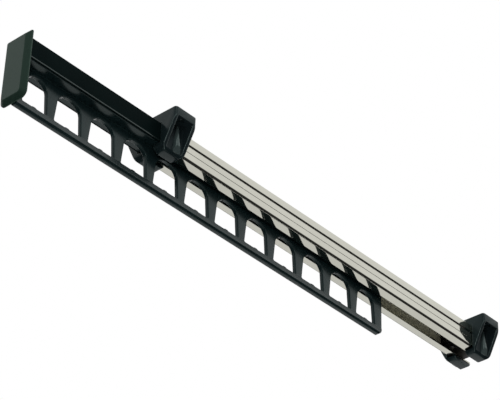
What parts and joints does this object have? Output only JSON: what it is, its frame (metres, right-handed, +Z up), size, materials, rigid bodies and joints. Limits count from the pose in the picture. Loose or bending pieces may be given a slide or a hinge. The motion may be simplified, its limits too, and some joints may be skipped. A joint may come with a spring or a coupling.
{
  "type": "pull-out clothes rail",
  "caption": "Pull-out clothes rail for under a shelf: a black slide with a strip of arched eyelets for hanger hooks and a pull plate runs in a bright steel channel held by moulded brackets.",
  "frame": {"origin": "middle of the front bracket's flat top, in the plane that lies against the shelf", "axes": "+X to the right seen from the handle, +Y from the handle into the wardrobe along the slide, +Z up into the shelf"},
  "size_m": [0.0398, 0.4014, 0.0477],
  "materials": {
    "bright_steel": "bright nickel plate on rolled steel",
    "bracket_plastic": "black moulding, satin",
    "zinc_steel": "zinc plated",
    "slide_plastic": "black extruded profile, dull",
    "strip_plastic": "black moulding, half gloss",
    "handle_plastic": "black moulding, fine satin",
    "glide_plastic": "natural acetal",
    "plug_plastic": "black moulding",
    "soft_rubber": "soft black rubber"
  },
  "bodies": {
    "fixed_rail": {"channel": "bright_steel", "front_bracket": "bracket_plastic", "rear_bracket": "bracket_plastic", "channel_screw_front_left": "zinc_steel", "channel_screw_front_right": "zinc_steel", "channel_screw_rear_left": "zinc_steel", "channel_screw_rear_right": "zinc_steel", "rear_plug": "plug_plastic", "plug_rivet_left": "zinc_steel", "plug_rivet_right": "zinc_steel", "rear_bumper": "soft_rubber", "stop_rivet": "zinc_steel"},
    "slide": {"slide_profile": "slide_plastic", "hanger_strip": "strip_plastic", "handle_plate": "handle_plastic", "tail_glide": "glide_plastic"}
  },
  "joints": [
    {"name": "slide_run", "type": "slide", "parent": "fixed_rail", "child": "slide", "axis": [0, 1, 0], "range_m": [-0.107, 0.098]}
  ]
}
